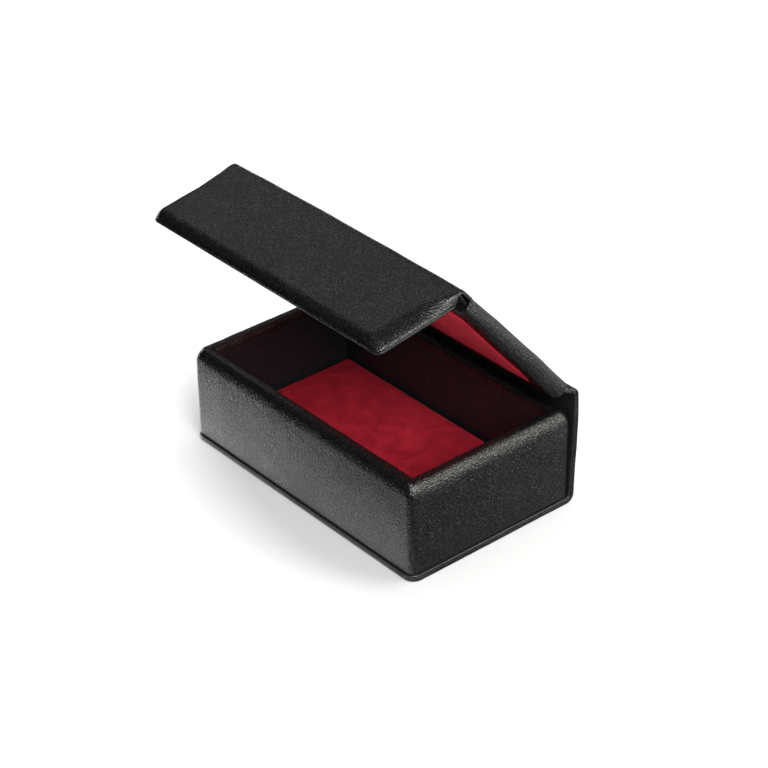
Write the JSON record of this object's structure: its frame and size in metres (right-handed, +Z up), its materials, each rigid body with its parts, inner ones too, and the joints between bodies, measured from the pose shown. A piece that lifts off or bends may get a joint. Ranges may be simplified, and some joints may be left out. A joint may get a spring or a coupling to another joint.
{
  "type": "ring display box",
  "caption": "Leather covered display box with a red suede pad, a padded lid on a leather hinge and a padded fold-down front flap.",
  "frame": {"origin": "centre of the tray's plan, on the surface that the box stands on", "axes": "+X along the width, to the right seen from the front; +Y to the back, where the lid is hinged; +Z up"},
  "size_m": [0.1112, 0.0818, 0.0962],
  "materials": {
    "black_leather": "fine pebbled grain, satin",
    "lining_leather": "smooth satin",
    "red_suede": "short brushed nap",
    "board": "raw fibreboard, hidden",
    "card": "raw grey card, hidden",
    "foam": "soft foam, hidden",
    "magnet": "plated, hidden"
  },
  "bodies": {
    "box": {"cover_leather": "black_leather", "cover_lining": "lining_leather", "base_board": "card", "spine_board": "card", "tray_leather": "black_leather", "front_wall": "board", "back_wall": "board", "left_wall": "board", "right_wall": "board", "floor_board": "board", "front_lining": "lining_leather", "back_lining": "lining_leather", "left_lining": "lining_leather", "right_lining": "lining_leather", "pad_board": "card", "pad_foam": "foam", "pad_suede": "red_suede", "tray_magnets": "magnet", "lid_hinge_leather": "black_leather", "lid_hinge_lining": "lining_leather"},
    "lid": {"lid_leather": "black_leather", "lid_foam": "foam", "lid_board": "board", "lid_lining_card": "card", "lid_lining_suede": "red_suede", "flap_hinge_leather": "black_leather", "flap_hinge_lining": "lining_leather"},
    "flap": {"flap_leather": "black_leather", "flap_foam": "foam", "flap_board": "card", "flap_lining": "lining_leather", "flap_inner_panel": "lining_leather", "flap_magnets": "magnet"}
  },
  "joints": [
    {"name": "lid_hinge", "type": "hinge", "parent": "box", "child": "lid", "pos_m": [0, 0.03355, 0.0395], "axis": [-1, 0, 0], "range_deg": [-49.6, 130.4], "deforming": ["lid_hinge_leather", "lid_hinge_lining"]},
    {"name": "flap_fold", "type": "hinge", "parent": "lid", "child": "flap", "pos_m": [0, -0.01356, 0.09362], "axis": [-1, 0, 0], "range_deg": [-31.4, 58.6], "deforming": ["flap_hinge_leather", "flap_hinge_lining"]}
  ]
}
